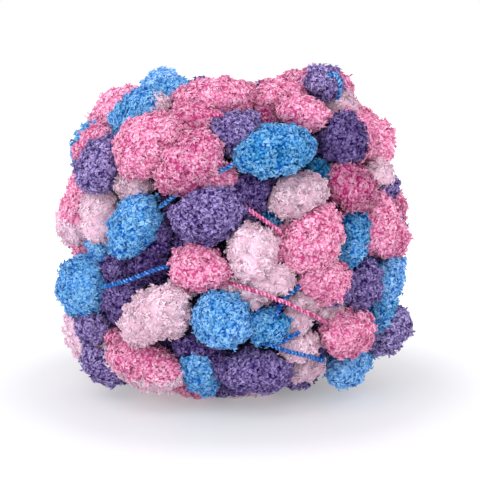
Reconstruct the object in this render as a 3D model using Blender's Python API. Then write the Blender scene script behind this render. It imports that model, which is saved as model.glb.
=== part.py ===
"""A ball of pompom yarn, 150 mm wide, resting on a small flat foot.

The yarn is a thin twisted cord that carries a fat, short-pile pompom every few
centimetres. Wound up, the pompoms lie side by side over the whole ball and hide
the cord, so the ball is one closed solid: the outer skin of all its pompoms,
full size to the tips of their pile, with the tops of the next layer down
showing in the gaps. The frame has +Z up and the foot at Z = 0.
"""
import bmesh
import bpy
import numpy as np

# Driving dimensions of the wound ball, in millimetres. The form is where the
# middles of the outer pompoms lie, and its half sizes are along X, Y and Z. Its
# squareness is a power: the soft ball has sagged squarer below than above.
MIDDLE_HEIGHT = 68.0
FORM_HALF_SIZE = np.array([63.0, 61.0, 56.5])
SQUARENESS_ABOVE = 4.2
SQUARENESS_BELOW = 6.5
FOOT_REACH = 31.0
FOOT_SAG = 6.0
FOOT_PRESSED = 1.2

# Driving dimensions of the pompoms, in millimetres
POMPOM_FLATNESS = 0.94
POMPOM_SPACING = 20.5
FILLING_SPACING = 15.5
HIDDEN_LENGTH = (24.0, 31.0)
HIDDEN_WIDTH = (20.0, 23.5)
HIDDEN_PROUD = (-3.0, 2.0)
SUNK_PROUD = -5.0
CROWN_PROUD = -5.0
INNER_DEPTH = 14.0
INNER_LENGTH = 28.0
INNER_WIDTH = 23.0
CORE_DEPTH = 11.0

# Where the ball counts as its front and its crown, as parts of a unit vector
FRONT_BEYOND = 0.3
CROWN_BEYOND = 0.8

# How finely the pompoms are shared out and the skin is made
TRIAL_COUNT = 900
SPREADING_STEPS = 12
INNER_COUNT = 70
POMPOM_ROUNDNESS = 3
CORE_ROUNDNESS = 4
SKIN_GRAIN = 1.9
TRIANGLES = 11500

MILLIMETRE = 0.001
GOLDEN_ANGLE = np.pi * (3.0 - np.sqrt(5.0))
GOLDEN_SHARE = (np.sqrt(5.0) - 1.0) / 2.0

# The pompoms of the front half, top to bottom, then a few that lie between them.
# Turn runs from the front (-Y) towards +X and rise from level to +Z, both seen
# from the ball's middle. Proud is how far the pompom stands out past the ball's
# form. Lean is the angle of its long axis, from level towards upright, seen from
# outside.
POMPOM_COLUMNS = ("turn_deg", "rise_deg", "proud_mm", "length_mm", "width_mm", "lean_deg")
FRONT_POMPOMS = (
    (-112, 60, 2, 28, 21, 0),
    (-60, 62, -1, 26, 20, 20),
    (-17, 60, -1, 34, 22, 5),
    (-50, 45, 0, 28, 19, 35),
    (-84, 47, -1, 27, 20, 60),
    (36, 60, -1, 26, 19, 0),
    (34, 45, 0, 25, 17, -15),
    (123, 60, 3, 24, 19, 0),
    (60, 56, 8, 20, 17, 0),
    (95, 55, 5, 25, 19, 0),
    (71, 49, 0, 20, 16, 0),
    (1, 40, -3, 23, 20, 20),
    (13, 45, -3, 14, 12, 0),
    (-110, 34, 0, 24, 21, 0),
    (-96, 29, -1, 27, 22, 70),
    (-68, 32, -2, 25, 20, 75),
    (-57, 25, 2, 26, 23, 75),
    (-33, 33, 1, 33, 25, 35),
    (-16, 28, 1, 31, 24, 35),
    (15, 31, 3, 33, 22, 12),
    (46, 34, 1, 24, 22, 60),
    (57, 36, -1, 25, 19, 60),
    (76, 33, -2, 26, 20, 85),
    (-84, 17, -2, 26, 20, 90),
    (-42, 22, -4, 20, 18, 0),
    (-9, 24, -3, 24, 17, 10),
    (6, 20, -3, 23, 19, 60),
    (23, 18, 1, 27, 18, 15),
    (47, 20, 0, 27, 22, -30),
    (66, 22, 0, 16, 14, 0),
    (70, 17, 3, 13, 12, 0),
    (-91, 3, 3, 28, 22, 90),
    (-58, 9, 0, 24, 20, 100),
    (-38, 7, 1, 30, 21, 62),
    (-9, 12, 4, 31, 22, 8),
    (14, 12, -6, 16, 8, -45),
    (28, 3, 2, 30, 25, 65),
    (52, 4, -2, 19, 17, 90),
    (50, -4, -2, 17, 15, 90),
    (64, 5, 1, 28, 24, 90),
    (95, 6, 4, 22, 18, 90),
    (94, -1, 2, 24, 20, 90),
    (-63, -3, -2, 18, 14, 60),
    (-12, -6, 2, 25, 20, -15),
    (6, -1, 1, 25, 22, 100),
    (13, -12, 0, 20, 16, 10),
    (16, 0, -2, 18, 13, 80),
    (-68, -18, 3, 27, 26, 70),
    (-20, -15, -3, 14, 12, 0),
    (5, -17, -4, 24, 13, -20),
    (34, -12, 1, 25, 21, -20),
    (28, -21, -3, 17, 12, -20),
    (53, -16, 1, 23, 18, 80),
    (75, -19, 1, 27, 20, 90),
    (72, -28, 1, 18, 15, 110),
    (-94, -37, 5, 26, 20, 90),
    (-68, -31, 0, 22, 20, 30),
    (-46, -21, -3, 23, 21, 30),
    (-29, -22, 4, 36, 21, 30),
    (-4, -23, 3, 25, 24, 0),
    (12, -26, 1, 18, 16, 0),
    (23, -26, -2, 15, 13, 0),
    (26, -34, -3, 20, 15, 0),
    (46, -30, 1, 30, 20, 0),
    (91, -32, 0, 22, 18, 90),
    (77, -33, 5, 25, 19, 90),
    (-66, -41, -3, 18, 17, 0),
    (-66, -42, 3, 27, 19, -30),
    (-37, -40, 1, 38, 20, -14),
    (-15, -44, -2, 25, 18, 90),
    (9, -42, -1, 30, 20, -5),
    (36, -47, -4, 17, 15, 0),
    (64, -46, 2, 28, 18, 10),
    (54, -60, 1, 26, 17, 0),
    (-36, -63, 0, 22, 14, 0),
    (-18, -67, 0, 22, 14, 0),
    (12, -68, 1, 24, 16, 0),
    (0, -90, 2, 30, 24, 0),
    (-31, 1, -4, 18, 12, 60),
    (35, 27, -5, 15, 12, 0),
    (-14, -37, -5, 24, 13, -30),
    (40, -26, -4, 16, 12, 0),
    (-57, -12, -5, 18, 14, 0),
    (-58, -37, -5, 16, 12, 0),
    (-90, -10, 0, 18, 14, 90),
    (98, 22, -4, 24, 20, 90),
    (96, 40, -5, 24, 20, 0),
    (-37, -8, -5, 26, 20, 30),
    (-24, -22, 3, 21, 20, 0),
    (150, 62, -6, 26, 21, 0),
)


def directions(turn, rise):
    """Unit vectors for angles in radians: turn from -Y towards +X, rise from level to +Z."""
    level = np.cos(rise)
    return np.stack([np.sin(turn) * level, -np.cos(turn) * level, np.sin(rise)], axis=-1)


def form_radius(direction):
    """How far the barrel form reaches along each direction, in mm.

    The form is where (level distance)^n + (height)^n = 1, both as shares of its
    half sizes. The power n is the squareness above or below the middle.
    """
    share = direction / FORM_HALF_SIZE
    level = np.hypot(share[..., 0], share[..., 1])
    height = np.abs(share[..., 2])
    power = np.where(share[..., 2] > 0.0, SQUARENESS_ABOVE, SQUARENESS_BELOW)
    return (level ** power + height ** power) ** (-1.0 / power)


def on_form(direction):
    """The places on the form that the directions point to, in mm."""
    return direction * form_radius(direction)[:, None]


def lattice(count):
    """Directions spread evenly over a sphere, each a golden angle on from the last."""
    step = np.arange(count) + 0.5
    return directions(step * GOLDEN_ANGLE, np.arcsin(1.0 - 2.0 * step / count))


def filled_in(taken):
    """Directions that fill what the taken places leave open.

    Of many even trial places, the one farthest from every pompom so far gets the
    next one, until no place is farther from a pompom than the spacing.
    """
    trial = lattice(TRIAL_COUNT)
    places = on_form(trial)
    distance = np.linalg.norm(places[:, None, :] - taken[None, :, :], axis=2).min(axis=1)
    chosen = []
    while distance.max() > FILLING_SPACING:
        chosen.append(distance.argmax())
        distance = np.minimum(distance, np.linalg.norm(places - places[chosen[-1]], axis=1))
    return trial[chosen]


def spread(moving, fixed):
    """Push the moving directions apart, and off the fixed places, until they lie evenly.

    Each neighbour nearer than the spacing pushes with the share of the spacing
    that is missing, and after each step the places go back on to the form.
    """
    for _ in range(SPREADING_STEPS):
        places = on_form(moving)
        others = np.concatenate([places, fixed])
        apart = places[:, None, :] - others[None, :, :]
        distance = np.linalg.norm(apart, axis=2)
        missing = np.where(distance > 0.0, np.clip(1.0 - distance / POMPOM_SPACING, 0.0, 1.0), 0.0)
        push = (apart / np.maximum(distance, 1e-9)[..., None] * missing[..., None]).sum(axis=1)
        places = places + POMPOM_SPACING / 4.0 * push
        moving = places / np.linalg.norm(places, axis=1, keepdims=True)
    return moving


def between(limits, share):
    """The value a share of the way from the lower limit to the upper one."""
    return limits[0] + (limits[1] - limits[0]) * share


def front_pompoms():
    """The pompoms of the table: directions, prouds, lengths, widths and leans."""
    column = dict(zip(POMPOM_COLUMNS, np.array(FRONT_POMPOMS, dtype=float).T))
    direction = directions(np.radians(column["turn_deg"]), np.radians(column["rise_deg"]))
    lean = np.radians(column["lean_deg"])
    return direction, column["proud_mm"], column["length_mm"], column["width_mm"], lean


def hidden_pompoms(front_direction):
    """The pompoms of the rest of the ball, and the sunk ones between those of the table.

    Each size and lean steps on by a power of the golden share from one pompom to
    the next, so that like neighbours don't meet. The crown dips a little, as the
    middle of a wound ball does.
    """
    taken = on_form(front_direction)
    direction = spread(filled_in(taken), taken)
    number = np.arange(1, len(direction) + 1)
    length_share, lean_share, width_share = [(number * GOLDEN_SHARE ** power) % 1.0 for power in (1, 2, 3)]
    proud = between(HIDDEN_PROUD, lean_share)
    proud = np.where(direction[:, 2] > CROWN_BEYOND, CROWN_PROUD, proud)
    proud = np.where(direction[:, 1] < -FRONT_BEYOND, SUNK_PROUD, proud)
    length = between(HIDDEN_LENGTH, length_share)
    width = between(HIDDEN_WIDTH, width_share)
    return direction, proud, length, width, np.pi * lean_share


def inner_pompoms():
    """The next layer down, which shows in the gaps between the outer pompoms."""
    each = np.ones(INNER_COUNT)
    lean = np.pi * ((np.arange(INNER_COUNT) * GOLDEN_SHARE) % 1.0)
    return lattice(INNER_COUNT), -INNER_DEPTH * each, INNER_LENGTH * each, INNER_WIDTH * each, lean


def placed(direction, proud, length, width, lean):
    """Ellipsoids: their middles in mm, and their half axes as the rows of a matrix each.

    The long axis lies in the ball's surface, turned from level by the lean, the
    second lies across it and the third points outwards.
    """
    middle = on_form(direction) + direction * proud[:, None] + [0.0, 0.0, MIDDLE_HEIGHT]
    turn = np.arctan2(direction[:, 0], -direction[:, 1])
    level = np.stack([np.cos(turn), np.sin(turn), np.zeros_like(turn)], axis=1)
    upright = np.cross(direction, level)
    along = np.cos(lean)[:, None] * level + np.sin(lean)[:, None] * upright
    across = np.cross(direction, along)
    half = np.stack([length, width, width * POMPOM_FLATNESS], axis=1) / 2.0
    return middle, np.stack([along, across, direction], axis=1) * half[:, :, None]


def settled(middle, half_axes):
    """Let the pompoms under the ball down on to the floor, where its weight presses them.

    A pompom near the upright axis whose underside is within the sag of the floor
    moves down until it dips into the floor by the pressed depth.
    """
    underside = middle[:, 2] - np.linalg.norm(half_axes[:, :, 2], axis=1)
    near = np.hypot(middle[:, 0], middle[:, 1]) < FOOT_REACH
    drop = np.where(near & (underside < FOOT_SAG), underside + FOOT_PRESSED, 0.0)
    middle = middle.copy()
    middle[:, 2] -= drop
    return middle, half_axes


def all_pompoms():
    """Every pompom of the ball, as middles and half axes in mm."""
    front = front_pompoms()
    groups = [placed(*front), placed(*hidden_pompoms(front[0])), placed(*inner_pompoms())]
    return settled(*[np.concatenate(parts) for parts in zip(*groups)])


def add_pompom(shapes, middle, half_axes):
    """One pompom: a ball of triangles stretched to its half axes and set in its place."""
    made = bmesh.ops.create_icosphere(shapes, subdivisions=POMPOM_ROUNDNESS, radius=1.0)["verts"]
    points = np.array([vertex.co for vertex in made]) @ half_axes + middle
    for vertex, point in zip(made, points):
        vertex.co = point * MILLIMETRE


def add_core(shapes):
    """The wound middle of the ball, under both layers of pompoms."""
    made = bmesh.ops.create_icosphere(shapes, subdivisions=CORE_ROUNDNESS, radius=1.0)["verts"]
    direction = np.array([vertex.co.normalized() for vertex in made])
    points = direction * (form_radius(direction) - CORE_DEPTH)[:, None] + [0.0, 0.0, MIDDLE_HEIGHT]
    for vertex, point in zip(made, points):
        vertex.co = point * MILLIMETRE


def keep_outer_skin(skin):
    """Delete the sealed pockets between the layers: all but the largest closed skin."""
    reached = set()
    pieces = []
    for start in skin.verts:
        if start in reached:
            continue
        reached.add(start)
        piece = [start]
        for vertex in piece:
            near = [edge.other_vert(vertex) for edge in vertex.link_edges]
            near = [other for other in near if other not in reached]
            reached.update(near)
            piece.extend(near)
        pieces.append(piece)
    pieces.sort(key=len)
    for pocket in pieces[:-1]:
        bmesh.ops.delete(skin, geom=pocket, context="VERTS")


def as_evaluated(item):
    """A new mesh of the object with its modifiers worked in, and the modifiers taken off."""
    bpy.context.view_layer.update()
    made = bpy.data.meshes.new_from_object(item.evaluated_get(bpy.context.evaluated_depsgraph_get()))
    item.modifiers.clear()
    return made


def ball_material():
    """Soft short pile, in the pink that most of the ball shows."""
    material = bpy.data.materials.new("pink_pile")
    material.use_nodes = True
    shader = material.node_tree.nodes["Principled BSDF"]
    shader.inputs["Base Color"].default_value = (0.78, 0.27, 0.42, 1.0)
    shader.inputs["Roughness"].default_value = 0.95
    shader.inputs["Metallic"].default_value = 0.0
    return material


def melted_ball():
    """All pompoms and the core, melted into one skin of even grain, on a new object."""
    shapes = bmesh.new()
    for middle, half_axes in zip(*all_pompoms()):
        add_pompom(shapes, middle, half_axes)
    add_core(shapes)
    loose = bpy.data.meshes.new("pompoms")
    shapes.to_mesh(loose)
    shapes.free()

    ball = bpy.data.objects.new("yarn_ball", loose)
    bpy.context.collection.objects.link(ball)
    melt = ball.modifiers.new("melt", "REMESH")
    melt.mode = "VOXEL"
    melt.voxel_size = SKIN_GRAIN * MILLIMETRE
    ball.data = as_evaluated(ball)

    skin = bmesh.new()
    skin.from_mesh(ball.data)
    keep_outer_skin(skin)
    bmesh.ops.triangulate(skin, faces=skin.faces[:])
    skin.to_mesh(ball.data)
    skin.free()
    return ball


def cut_foot_and_centre(mesh):
    """Press what dips into the floor flat at Z = 0, and centre the ball on its upright axis."""
    points = np.empty(len(mesh.vertices) * 3)
    mesh.vertices.foreach_get("co", points)
    points = points.reshape(-1, 3)
    points[:, 2] = np.maximum(points[:, 2], 0.0)
    points[:, :2] -= (points[:, :2].min(axis=0) + points[:, :2].max(axis=0)) / 2.0
    mesh.vertices.foreach_set("co", points.ravel())
    mesh.update()


def yarn_ball():
    """The whole ball: melted, thinned to an even count of triangles and set on its foot."""
    ball = melted_ball()
    thin = ball.modifiers.new("thin", "DECIMATE")
    thin.ratio = TRIANGLES / len(ball.data.polygons)
    ball.data = as_evaluated(ball)
    cut_foot_and_centre(ball.data)
    ball.data.name = "yarn_ball"
    ball.data.shade_smooth()
    ball.data.materials.clear()
    ball.data.materials.append(ball_material())
    return ball


def main():
    """Empty the scene and build the ball."""
    for old in list(bpy.data.objects):
        bpy.data.objects.remove(old)
    yarn_ball()


main()
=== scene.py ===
"""The looks of a ball of pompom yarn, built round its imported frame.

The file is laid out as an add-on: property groups hold the sizes and colours, an
operator makes each group of like pieces, and a sidebar panel lists them. It is
run as a script, which builds the whole picture.

Every pompom is a lumpy core with a coat of curly pile on it. The pile is real
geometry: short flat-sided tufts that lean together in little clumps, so that the
coat dips between the clumps. Lengths in the tables are millimetres, and the
meshes are in metres.
"""

import bpy
import numpy as np
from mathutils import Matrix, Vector


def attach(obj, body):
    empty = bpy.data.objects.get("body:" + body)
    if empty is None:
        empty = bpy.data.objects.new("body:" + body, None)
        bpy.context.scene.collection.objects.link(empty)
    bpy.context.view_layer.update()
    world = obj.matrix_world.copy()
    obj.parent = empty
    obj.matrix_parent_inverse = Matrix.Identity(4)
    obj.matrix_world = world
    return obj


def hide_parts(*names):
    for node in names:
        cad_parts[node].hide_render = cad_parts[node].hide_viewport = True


bl_info = {
    "name": "Pompom Yarn Ball",
    "version": (1, 0, 0),
    "blender": (4, 5, 0),
    "location": "View3D > Sidebar > Pompom Yarn",
    "description": "Dresses the packed ball of pompom yarn with its pile and cords, and lights it",
    "category": "Add Mesh",
}

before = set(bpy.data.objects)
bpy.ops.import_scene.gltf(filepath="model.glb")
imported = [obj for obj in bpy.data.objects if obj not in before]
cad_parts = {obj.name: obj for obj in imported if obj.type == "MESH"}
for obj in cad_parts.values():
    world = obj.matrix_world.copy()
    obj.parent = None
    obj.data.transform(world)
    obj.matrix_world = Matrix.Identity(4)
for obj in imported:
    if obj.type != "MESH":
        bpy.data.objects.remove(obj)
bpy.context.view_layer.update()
BALL_NODE = "yarn_ball"
BODY = "root"
MILLIMETRE = 0.001

# The wound ball, as its solid has it: the form where the middles of the outer
# pompoms lie, its squareness above and below, and how it sags on to its foot
MIDDLE_HEIGHT = 68.0
FORM_HALF_SIZE = np.array([63.0, 61.0, 56.5])
SQUARENESS_ABOVE = 4.2
SQUARENESS_BELOW = 6.5
FOOT_REACH = 31.0
FOOT_SAG = 6.0
FOOT_PRESSED = 1.2

# Its pompoms in mm: how flat they are, their spacing, the sizes of those that don't
# show and how far they stand out past the form, and the layer below
POMPOM_FLATNESS = 0.94
POMPOM_SPACING = 20.5
FILLING_SPACING = 15.5
HIDDEN_LENGTH = (24.0, 31.0)
HIDDEN_WIDTH = (20.0, 23.5)
HIDDEN_PROUD = (-3.0, 2.0)
SUNK_PROUD = -5.0
CROWN_PROUD = -5.0
INNER_DEPTH = 14.0
INNER_LENGTH = 28.0
INNER_WIDTH = 23.0
INNER_COUNT = 70

# Where the ball counts as its front and its crown, as parts of a unit vector
FRONT_BEYOND = 0.3
CROWN_BEYOND = 0.8

# How the pompoms are spread: trial places, steps, and the golden angle and share
TRIAL_COUNT = 900
SPREADING_STEPS = 12
GOLDEN_ANGLE = np.pi * (3.0 - np.sqrt(5.0))
GOLDEN_SHARE = (np.sqrt(5.0) - 1.0) / 2.0

# The pompoms of the front half, top to bottom, then a few that lie between them.
# Turn runs from the front (-Y) towards +X and rise from level to +Z, both seen
# from the ball's middle. Proud is how far the pompom stands out past the ball's
# form. Lean is the angle of its long axis, from level towards upright, seen from
# outside. The columns are turn, rise, proud, length, width, lean and colour, with
# angles in degrees and lengths in mm.
FRONT_POMPOMS = (
    (-112, 60, 2, 28, 21, 0, "blue"),
    (-60, 62, -1, 26, 20, 20, "blue"),
    (-17, 60, -1, 34, 22, 5, "pink"),
    (-50, 45, 0, 28, 19, 35, "blue"),
    (-84, 47, -1, 27, 20, 60, "pink"),
    (36, 60, -1, 26, 19, 0, "pink"),
    (34, 45, 0, 25, 17, -15, "pink"),
    (123, 60, 3, 24, 19, 0, "pink"),
    (60, 56, 8, 20, 17, 0, "purple"),
    (95, 55, 5, 25, 19, 0, "pink"),
    (71, 49, 0, 20, 16, 0, "pale_pink"),
    (1, 40, -3, 23, 20, 20, "purple"),
    (13, 45, -3, 14, 12, 0, "pink"),
    (-110, 34, 0, 24, 21, 0, "pale_pink"),
    (-96, 29, -1, 27, 22, 70, "blue"),
    (-68, 32, -2, 25, 20, 75, "pink"),
    (-57, 25, 2, 26, 23, 75, "purple"),
    (-33, 33, 1, 33, 25, 35, "pink"),
    (-16, 28, 1, 31, 24, 35, "pink"),
    (15, 31, 3, 33, 22, 12, "blue"),
    (46, 34, 1, 24, 22, 60, "purple"),
    (57, 36, -1, 25, 19, 60, "pink"),
    (76, 33, -2, 26, 20, 85, "pink"),
    (-84, 17, -2, 26, 20, 90, "pink"),
    (-42, 22, -4, 20, 18, 0, "pale_pink"),
    (-9, 24, -3, 24, 17, 10, "pink"),
    (6, 20, -3, 23, 19, 60, "purple"),
    (23, 18, 1, 27, 18, 15, "pale_pink"),
    (47, 20, 0, 27, 22, -30, "pink"),
    (66, 22, 0, 16, 14, 0, "pale_pink"),
    (70, 17, 3, 13, 12, 0, "purple"),
    (-91, 3, 3, 28, 22, 90, "pale_pink"),
    (-58, 9, 0, 24, 20, 100, "pale_pink"),
    (-38, 7, 1, 30, 21, 62, "blue"),
    (-9, 12, 4, 31, 22, 8, "purple"),
    (14, 12, -6, 16, 8, -45, "blue"),
    (28, 3, 2, 30, 25, 65, "pink"),
    (52, 4, -2, 19, 17, 90, "blue"),
    (50, -4, -2, 17, 15, 90, "blue"),
    (64, 5, 1, 28, 24, 90, "pink"),
    (95, 6, 4, 22, 18, 90, "pink"),
    (94, -1, 2, 24, 20, 90, "purple"),
    (-63, -3, -2, 18, 14, 60, "blue"),
    (-12, -6, 2, 25, 20, -15, "pink"),
    (6, -1, 1, 25, 22, 100, "pale_pink"),
    (13, -12, 0, 20, 16, 10, "pale_pink"),
    (16, 0, -2, 18, 13, 80, "pink"),
    (-68, -18, 3, 27, 26, 70, "blue"),
    (-20, -15, -3, 14, 12, 0, "pale_pink"),
    (5, -17, -4, 24, 13, -20, "pale_pink"),
    (34, -12, 1, 25, 21, -20, "pink"),
    (28, -21, -3, 17, 12, -20, "pale_pink"),
    (53, -16, 1, 23, 18, 80, "purple"),
    (75, -19, 1, 27, 20, 90, "blue"),
    (72, -28, 1, 18, 15, 110, "blue"),
    (-94, -37, 5, 26, 20, 90, "pale_pink"),
    (-68, -31, 0, 22, 20, 30, "purple"),
    (-46, -21, -3, 23, 21, 30, "purple"),
    (-29, -22, 4, 36, 21, 30, "pale_pink"),
    (-4, -23, 3, 25, 24, 0, "blue"),
    (12, -26, 1, 18, 16, 0, "blue"),
    (23, -26, -2, 15, 13, 0, "pale_pink"),
    (26, -34, -3, 20, 15, 0, "pale_pink"),
    (46, -30, 1, 30, 20, 0, "pink"),
    (91, -32, 0, 22, 18, 90, "purple"),
    (77, -33, 5, 25, 19, 90, "purple"),
    (-66, -41, -3, 18, 17, 0, "pale_pink"),
    (-66, -42, 3, 27, 19, -30, "purple"),
    (-37, -40, 1, 38, 20, -14, "pink"),
    (-15, -44, -2, 25, 18, 90, "blue"),
    (9, -42, -1, 30, 20, -5, "purple"),
    (36, -47, -4, 17, 15, 0, "pale_pink"),
    (64, -46, 2, 28, 18, 10, "blue"),
    (54, -60, 1, 26, 17, 0, "purple"),
    (-36, -63, 0, 22, 14, 0, "pink"),
    (-18, -67, 0, 22, 14, 0, "purple"),
    (12, -68, 1, 24, 16, 0, "pale_pink"),
    (0, -90, 2, 30, 24, 0, "purple"),
    (-31, 1, -4, 18, 12, 60, "purple"),
    (35, 27, -5, 15, 12, 0, "blue"),
    (-14, -37, -5, 24, 13, -30, "purple"),
    (40, -26, -4, 16, 12, 0, "pale_pink"),
    (-57, -12, -5, 18, 14, 0, "purple"),
    (-58, -37, -5, 16, 12, 0, "pink"),
    (-90, -10, 0, 18, 14, 90, "pink"),
    (98, 22, -4, 24, 20, 90, "pink"),
    (96, 40, -5, 24, 20, 0, "pink"),
    (-37, -8, -5, 26, 20, 30, "purple"),
    (-24, -22, 3, 21, 20, 0, "pale_pink"),
    (150, 62, -6, 26, 21, 0, "purple"),
)

# Pompoms that are part one colour and part another: the second colour, the side
# that it is on, as an angle like lean's, and the share of the length it takes
TWO_COLOURED = {
    3: ("pale_pink", 15, 0.06),
    8: ("pink", 80, 0.08),
    10: ("pink", 30, 0.35),
    13: ("pink", 0, 0.3),
    25: ("pale_pink", 190, 0.3),
    31: ("pink", 60, 0.35),
    36: ("pale_pink", -30, 0.07),
    50: ("purple", -35, 0.25),
    68: ("pale_pink", -105, 0.6),
}

# Pompoms that look darker or lighter than the rest of their colour, partly by a tone
# of their own and partly as painted shade where they lie in shade and painted light
# where they catch it: by how much of the map's width, then which ones, by their place
# in the table
TONES_AND_PAINTED_SHADE = (
    (-0.4, (12, 79, 87)),
    (-0.25, (20, 26, 28, 78, 80)),
    (-0.12, (18, 19, 24, 27, 37, 57, 60, 61)),
    (0.12, (4, 8, 11, 16, 22, 23, 31, 42, 53, 55, 56, 67, 72)),
    (0.25, (0, 65)),
)

# Filled-in pompoms whose colour shows from the front, by their place in the order
FILLED_COLOURS = {
    "pink": (12, 13, 36, 46, 55, 57, 59, 60, 61),
    "blue": (25, 31, 50),
    "purple": (7, 26, 30, 32, 33, 37, 38, 53, 58),
}

COLOURS = ("pink", "pale_pink", "blue", "purple")

# What the unseen pompoms and those of the layer below are dealt from
HIDDEN_COLOURS = (
    "pink", "purple", "blue", "pale_pink", "pink", "blue", "purple", "pink", "blue", "pale_pink", "purple")
INNER_COLOURS = ("purple", "blue", "purple", "purple")

# Stretches of twisted cord that show, each with its colour, how light its wool
# is from 0 to 1, lower as painted shade where the stretch lies in shade, and the
# places that it runs through: turn and rise in degrees, and the distance from the
# ball's middle in mm
CORDS = (
    ("pink", 0.1, ((-20, 42.5, 72), (-15, 40, 77.5), (-11.5, 40.5, 78), (-7.5, 41, 77.5), (-4.5, 43, 74))),
    ("blue", 0.3, ((-30.5, 14, 60), (-25.5, 15.5, 64), (-21, 18, 66), (-16.5, 20.5, 68), (-14.5, 22, 68))),
    ("blue", 0.3, ((-9, 25, 63), (-5.5, 25.3, 69.5), (-2, 26.3, 71.5), (1, 28, 71.5), (3.5, 30, 69))),
    ("blue", 0.08, ((-54.5, -16.5, 67), (-44, -13, 70), (-37.5, -11, 69), (-31, -8.5, 68), (-26.5, -7, 66),
                    (-23, -6, 64))),
    ("pink", 0.25, ((1.5, 17.5, 61), (4.5, 13.8, 67.5), (7.5, 11.5, 68), (10.5, 9.5, 67), (14, 7, 66),
                    (17, 4.5, 63))),
    ("pink", 0.3, ((-2, -12, 62), (0.5, -11.5, 66), (5, -12, 69), (9, -13, 70.5), (13, -15, 70.5),
                   (17, -16.5, 70.5), (21.5, -19, 70.5), (28, -22, 71), (34.5, -26, 69), (44, -32, 65))),
    ("blue", 0.04, ((27.5, -13, 61), (24.5, -13, 64), (21, -14.5, 66), (18, -16, 66.5), (16, -18.5, 68),
                   (14, -20, 71), (13.5, -23, 70))),
    ("blue", 0.0, ((33, -30, 60), (26.5, -27.8, 69), (21.5, -27, 73), (18, -27.5, 74.5), (16.5, -31, 72))),
    ("blue", 0.02, ((11, -30.5, 71), (13, -29.5, 75), (18, -31.5, 75.8), (24, -33, 76.6), (31.5, -36, 76.2),
                    (37, -39, 74.5), (42, -41.5, 70))),
    ("blue", 0.5, ((53, 54.5, 79), (53.5, 53.5, 81.5), (54.5, 52, 81.5), (56, 50.5, 79.5), (58, 49.5, 76),
                   (60, 49, 72))),
)

# The map that the pieces share, and the seed that random draws start from
MAP_NAME = "OFBake"
SEED = 4100

# When a tuft shows: how far off the pompoms that may cover it lie in mm, the share
# of their size that does, the lines of sight from it and how they lean, and the
# least share of them that has to be open, on a pompom of the table and elsewhere
NEIGHBOUR_REACH = 55.0
COVERING_SIZE = 0.95
LOOKS = 7
LOOK_LEAN = np.radians(52.0)
LEAST_OPEN_SEEN = 0.1
LEAST_OPEN = 0.2

# The lumps of a pompom, as shares of its size, and the power of its area's rule
LUMP_WAVES = 4
LUMP_RATE = 3.2
LUMP_SIZE = 0.075
LUMP_TAPER = 0.12
LUMP_FULLNESS = 0.02
AREA_POWER = 1.6075

# Clumps and tufts: the fewest clumps, and shares of a lattice's spacing, a clump's
# size, the tufts, a tuft's length, girth or bend, and the pompom's width
LATTICE_SHAKE = 0.6
LEAST_CLUMPS = 6
CLUMP_REACH = 1.5
CLUMP_SWIRL = 0.7
INNER_THINNING = 0.9
THIN_PILE = 0.2
HEIGHT_SPREAD = 0.07
BEND_SPREAD = (0.35, 1.25)
GIRTH_SPREAD = (0.75, 1.25)
WIDE_SHARE = 0.35
WIDE_GIRTH = 1.9
WIDE_HEIGHT = 0.82
BELLY_AT = 0.8
CURL_DROP = 0.3
CURL_RISE = 0.85
CURL_DIVE = 0.5

# In mm: how blurred the edge between two colours is, how far a core is set in
# where its colour isn't the one that shows, and the least height of a tuft
SECOND_COLOUR_BLUR = 0.9
OTHER_SINK = 0.9
FLOOR_CLEARANCE = 0.15

# Cores and heart: how far a core is set in, as a share of the pile, places round
# and rings of each grid, how sunk a pompom with the coarse one is, the heart's depth
CORE_SINK = 0.22
CORE_GRID = (20, 12)
INNER_CORE_GRID = (14, 8)
INNER_BEYOND = 0.9
HEART_GRID = (40, 24)
HEART_DEPTH = 20.0

# The map runs across from dark to light wool, by the wool's own tones and by painted
# shade, and up from the roots, in painted shade, to the tips, in painted light.
# A tuft's points lie on it as here: root, three points of the belly, and tip; the
# first belly point, under the curl, sits lower as painted shade
MAP_MIDDLE = 0.5
MAP_WIDTH = 0.02
TUFT_ACROSS = (0.0, 0.0, 1.0, -1.0, 0.0)
TUFT_UP = (0.02, 0.6, 0.85, 0.85, 0.98)
TUFT_POINTS = len(TUFT_UP)
CORE_UP = 0.5
CORE_WAVE = 0.05
HEART_SHADE = 0.5

# Shades across the map: the middle one and the limits, how much pompoms, clumps
# and tufts differ at random, and the painted shade on sunk, hid, wide and creased wool
SHADE_MIDDLE = 0.52
SHADE_LIMITS = (0.04, 0.96)
POMPOM_SHADE = 0.02
CLUMP_SHADE = 0.045
TUFT_SHADE = 0.045
SUNK_SHADE = 0.15
HID_SHADE = 0.06
WIDE_SHADE = 0.03
CREASE_SHADE = 0.07

# The wool's material: its fine grain and the noise that stirs it, the painted shade that
# the grain's cracks give the colours, where up the map the body and tip colours come
# in, how much paler light wool is, its surface
GRAINS_PER_M = 820.0
GRAIN_EDGE = 0.92
GRAIN_DEPTH = 0.0006
GRAIN_STRENGTH = 0.12
STIR_PER_M = 600.0
STIR_DEPTH = 0.0012
GRAIN_CRACK_SHADE = 0.9
BODY_RISE = (0.1, 0.62)
TIP_RISE = (0.55, 1.0)
PALING = 0.5
WOOL_SURFACE = {"Roughness": 0.9, "Specular IOR Level": 0.15, "Sheen Weight": 0.1, "Sheen Roughness": 0.4}

# Cords: points along a route, the step of the mesh in mm, the sides of a ply, the
# offset and radius of a ply as shares of the cord, and its shades on the map, with
# painted shade in the grooves of the twist and at the ends
ROUTE_POINTS = 60
CORD_STEP = 0.45
PLY_SIDES = 8
PLY_OFFSET = 0.25
PLY_RADIUS = 0.28
TWIST_GROOVE_SHADE = 0.33
CORD_WAVE = 0.15
CORD_WAVE_RATE = 1.9
CORD_END = (0.4, 0.1)
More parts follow.
